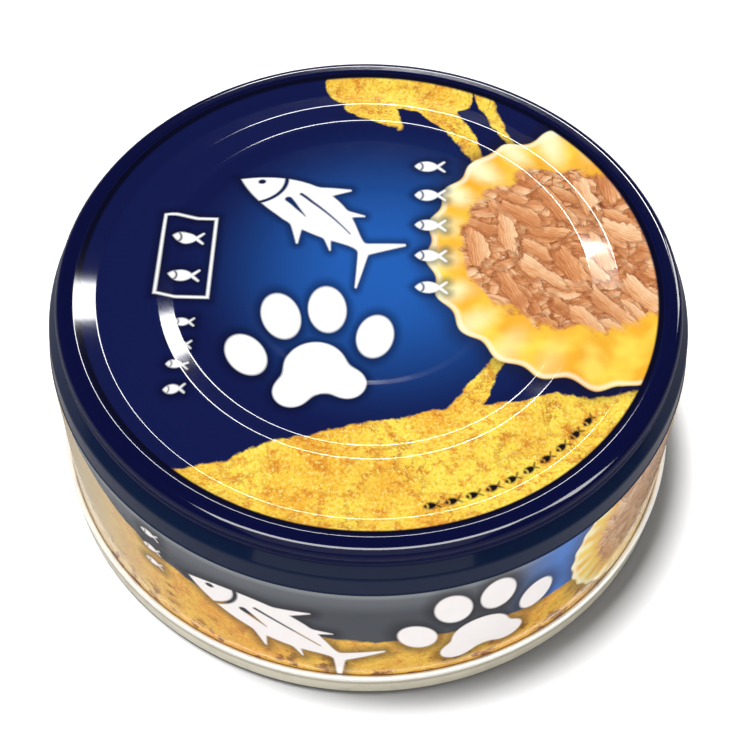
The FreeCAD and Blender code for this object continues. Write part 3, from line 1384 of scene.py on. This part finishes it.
@dataclass(frozen=True)
class Studio:
    """Pale floor, soft light and the camera. Mirrored means as the can's gloss reflects it."""

    floor_size: float = 6.0
    floor_colour: ClassVar[Rgba] = (0.23, 0.23, 0.23, 1)
    mirrored_floor_colour: ClassVar[Rgba] = (0.055, 0.055, 0.057, 1)
    sky: float = 0.7
    mirrored_sky_less: float = 0.66
    lens: float = 59.06
    sensor: float = 36.0
    aim_height: float = 27.8 * MM
    distance: float = 138.2 * MM
    elevation: float = 50.58
    yaw: float = -0.335
    pitch: float = -4.725
    roll: float = -1.412

    def floor(self) -> bpy.types.Object:
        """Lays the floor.

        Returns:
            The floor.
        """
        plane = bmesh.new()
        bmesh.ops.create_grid(plane, x_segments=1, y_segments=1, size=self.floor_size / 2)
        mesh = bpy.data.meshes.new("floor")
        plane.to_mesh(mesh)
        plane.free()
        material = bpy.data.materials.new("floor")
        material.use_nodes = True
        material.node_tree.nodes.clear()
        sketch = Sketch(material.node_tree)
        mirrored = sketch.outputs("ShaderNodeLightPath", {})["Is Glossy Ray"]
        seen = sketch.colour(mirrored, self.floor_colour, self.mirrored_floor_colour)
        shader = sketch.outputs("ShaderNodeBsdfDiffuse", {"Color": seen})[0]
        sketch.outputs("ShaderNodeOutputMaterial", {"Surface": shader})
        mesh.materials.append(material)
        floor = in_scene("floor", mesh)
        return floor

    def lights(self, floor: bpy.types.Object) -> None:
        """Hangs the lights.

        Args:
            floor: The floor, which has a lamp of its own.
        """
        aim = Vector((0, 0, self.aim_height))
        boxes = [
            Softbox("window", 78, 37.0, 1.0, 0.7, 0.1, 36, in_diffuse=False),
            Softbox("window_soft", 77, 37.0, 1.02, 0.82, 0.13, 5, in_diffuse=False),
            Softbox("overhead", -90, 71.5, 1.03, 1.2, 0.32, 18, in_diffuse=False),
            Softbox("overhead_right", -17, 43, 1.0, 0.24, 0.5, 16, in_diffuse=False),
            Softbox("side", 40, 22, 1.0, 0.24, 0.3, 14, in_diffuse=False),
            Softbox("front_card", -90, 35, 1.0, 1.2, 0.9, 0.6, in_diffuse=False),
            Softbox("key", 145, 62, 1.0, 0.5, 0.5, 6.4, in_gloss=False),
            Softbox("fill", -80, 30, 1.2, 0.9, 0.6, 0.9, in_gloss=False),
        ]
        for box in boxes:
            box.build(aim)
        lamp = Softbox("floor_lamp", 143, 78.3, 1.0, 0.2, 0.2, 450, in_gloss=False).build(aim)
        lit = bpy.data.collections.new("lit_by_floor_lamp")
        lit.objects.link(floor)
        lamp.light_linking.receiver_collection = lit

    def surroundings(self) -> None:
        """Sets the dim surroundings, which are dimmer still where the can mirrors them."""
        world = bpy.data.worlds.new("surroundings")
        bpy.context.scene.world = world
        world.use_nodes = True
        world.node_tree.nodes.clear()
        sketch = Sketch(world.node_tree)
        mirrored = sketch.outputs("ShaderNodeLightPath", {})["Is Glossy Ray"]
        strength = sketch.line(mirrored, -self.mirrored_sky_less, self.sky)
        sky = sketch.outputs("ShaderNodeBackground", {"Color": (1, 1, 1, 1), "Strength": strength})[0]
        sketch.outputs("ShaderNodeOutputWorld", {"Surface": sky})

    def camera(self) -> bpy.types.Object:
        """Sets up the camera.

        Returns:
            The camera.
        """
        rise = math.radians(self.elevation)
        place = Vector((0, -math.cos(rise), math.sin(rise))) * self.distance
        ahead = -place.normalized()
        right = Vector((1, 0, 0))
        up = right.cross(ahead)
        swing = Matrix.Rotation(math.radians(self.yaw), 3, up)
        ahead, right = swing @ ahead, swing @ right
        nod = Matrix.Rotation(math.radians(self.pitch), 3, right)
        ahead, up = nod @ ahead, nod @ up
        lean = Matrix.Rotation(math.radians(self.roll), 3, ahead)
        right, up = lean @ right, lean @ up
        lens = bpy.data.cameras.new("camera")
        lens.lens = self.lens
        lens.sensor_width = self.sensor
        lens.clip_start = 1 * MM
        camera = in_scene("camera", lens)
        turn = Matrix((right, up, -ahead)).transposed().to_4x4()
        camera.matrix_world = Matrix.Translation(place + Vector((0, 0, self.aim_height))) @ turn
        bpy.context.scene.camera = camera
        return camera

    def build(self) -> None:
        """Sets up the whole studio."""
        self.lights(self.floor())
        self.surroundings()
        self.camera()
        bpy.context.scene.view_settings.view_transform = "Standard"


def main() -> None:
    """Builds the can and its studio, sized from the two CAD parts' boxes."""
    logging.basicConfig(level=logging.INFO, format="%(message)s")
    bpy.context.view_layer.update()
    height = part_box("can_body")[1][2]
    seam_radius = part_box("can_end")[1][0]
    effects = Effects.made()
    lathe = Lathe()
    PrintedBody(height, seam_radius).build(effects, lathe)
    SeamedEnd(seam_radius).build(effects, lathe)
    Studio().build()


if __name__ == "__main__":
    main()
